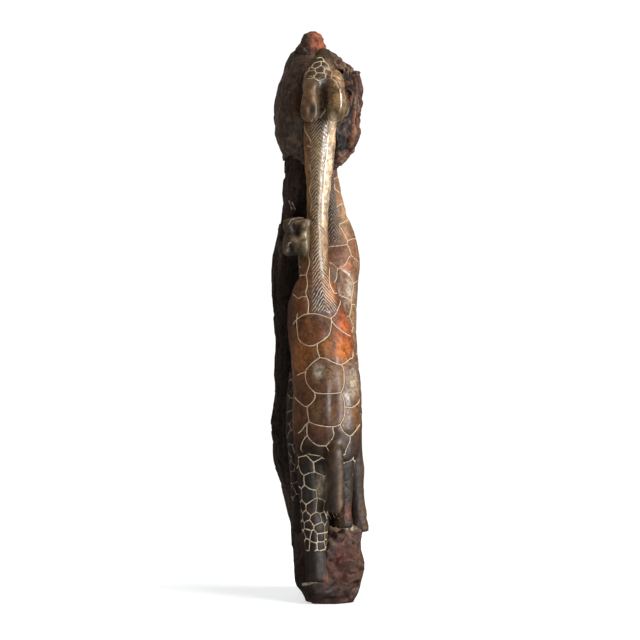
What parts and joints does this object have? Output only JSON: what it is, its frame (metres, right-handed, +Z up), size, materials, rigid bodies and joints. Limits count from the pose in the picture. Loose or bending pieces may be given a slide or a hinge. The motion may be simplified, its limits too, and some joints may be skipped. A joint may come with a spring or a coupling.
{
  "type": "carved giraffe statue",
  "caption": "Tall narrow carved stone group of giraffes with engraved patches, browsing at one tree on a rough rock base; rests on its flat underside.",
  "frame": {"origin": "middle of the bounding box, on the plane the rock base rests on", "axes": "+Z up to the knob on the tree crown; -Y towards the rump of the front giraffe; +X to the right as that rump is faced"},
  "size_m": [0.0788, 0.1406, 0.4515],
  "materials": {
    "polished_stone": "gloss",
    "horn_stone": "gloss",
    "calf_stone": "gloss",
    "bark_stone": "satin",
    "crown_stone": "matte",
    "knob_stone": "satin",
    "rock_stone": "satin"
  },
  "bodies": {
    "root": {"base_rock": "rock_stone", "calf_ear_left": "calf_stone", "calf_ear_right": "calf_stone", "calf_foreleg_left": "calf_stone", "calf_foreleg_right": "calf_stone", "calf_head": "calf_stone", "calf_hind_leg_left": "calf_stone", "calf_hind_leg_right": "calf_stone", "calf_neck": "calf_stone", "calf_ossicone_left": "calf_stone", "calf_ossicone_right": "calf_stone", "calf_tail": "calf_stone", "calf_torso": "calf_stone", "crown_knob": "knob_stone", "front_giraffe_ear_left": "horn_stone", "front_giraffe_ear_right": "horn_stone", "front_giraffe_foreleg_left": "polished_stone", "front_giraffe_foreleg_right": "polished_stone", "front_giraffe_head": "polished_stone", "front_giraffe_hind_leg_left": "polished_stone", "front_giraffe_hind_leg_right": "polished_stone", "front_giraffe_neck": "polished_stone", "front_giraffe_ossicone_left": "horn_stone", "front_giraffe_ossicone_right": "horn_stone", "front_giraffe_tail": "polished_stone", "front_giraffe_torso": "polished_stone", "rear_giraffe_ear_left": "horn_stone", "rear_giraffe_foreleg_left": "polished_stone", "rear_giraffe_foreleg_right": "polished_stone", "rear_giraffe_head": "polished_stone", "rear_giraffe_hind_leg_left": "polished_stone", "rear_giraffe_hind_leg_right": "polished_stone", "rear_giraffe_neck": "polished_stone", "rear_giraffe_ossicone_left": "horn_stone", "rear_giraffe_ossicone_right": "horn_stone", "rear_giraffe_tail": "polished_stone", "rear_giraffe_torso": "polished_stone", "tree_crown": "crown_stone", "tree_trunk": "bark_stone"}
  },
  "joints": []
}
